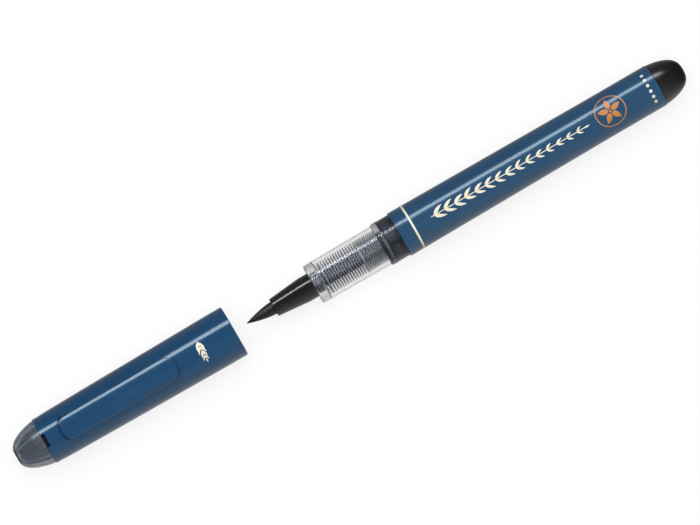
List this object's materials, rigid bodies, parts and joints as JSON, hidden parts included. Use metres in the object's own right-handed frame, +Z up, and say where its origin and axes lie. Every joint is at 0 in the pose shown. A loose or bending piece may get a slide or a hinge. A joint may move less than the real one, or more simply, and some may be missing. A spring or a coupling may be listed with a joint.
{
  "type": "brush pen",
  "caption": "Disposable brush pen with a flexible fibre tip, a clear comb collector section and a pull-off cap with a flexing clip.",
  "frame": {"origin": "centre of the bounding box on the surface that the pen and its cap lie on", "axes": "+X along the pen from the brush to the tail, +Y across it, +Z up out of the cap's clip"},
  "size_m": [0.1832, 0.013, 0.0146],
  "materials": {
    "blue_shell": "glossy moulded blue plastic with cream and orange printed ornament",
    "blue_cap": "glossy moulded blue plastic, slightly deeper than the barrel",
    "black_gloss": "polished black plastic",
    "black_satin": "smooth black plastic",
    "clear_plastic": "clear moulded plastic, polished",
    "comb_plastic": "translucent plastic wetted by ink",
    "smoke_plastic": "smoke grey translucent plastic",
    "liner_plastic": "soft natural white moulded liner",
    "wick_fibre": "bonded fibre rod soaked in black ink",
    "brush_fibre": "fine fibres drawn to a point and wet with black ink",
    "ink_liquid": "black water-based ink"
  },
  "bodies": {
    "pen": {"barrel": "blue_shell", "tail_plug": "black_gloss", "front_section": "clear_plastic", "collector": "comb_plastic", "relay_core": "wick_fibre", "ink": "ink_liquid", "tip_holder": "black_satin", "brush_root": "brush_fibre"},
    "brush": {"brush_tip": "brush_fibre"},
    "cap": {"cap_body": "blue_cap", "cap_crown": "smoke_plastic", "inner_cap": "liner_plastic"},
    "clip_arm": {"clip": "blue_cap"}
  },
  "joints": [
    {"name": "cap_slide", "type": "slide", "parent": "pen", "child": "cap", "axis": [1, 0, 0], "range_m": [0, 0.04515]},
    {"name": "clip_flex", "type": "hinge", "parent": "cap", "child": "clip_arm", "pos_m": [-0.0762, 0, 0.01335], "axis": [0, -1, 0], "range_deg": [0, 4], "stiffness_Nm_per_rad": 1.5},
    {"name": "brush_bend", "type": "hinge", "parent": "pen", "child": "brush", "pos_m": [-0.0212, 0, 0.0065], "axis": [0, 1, 0], "range_deg": [-25, 25], "stiffness_Nm_per_rad": 0.005}
  ]
}
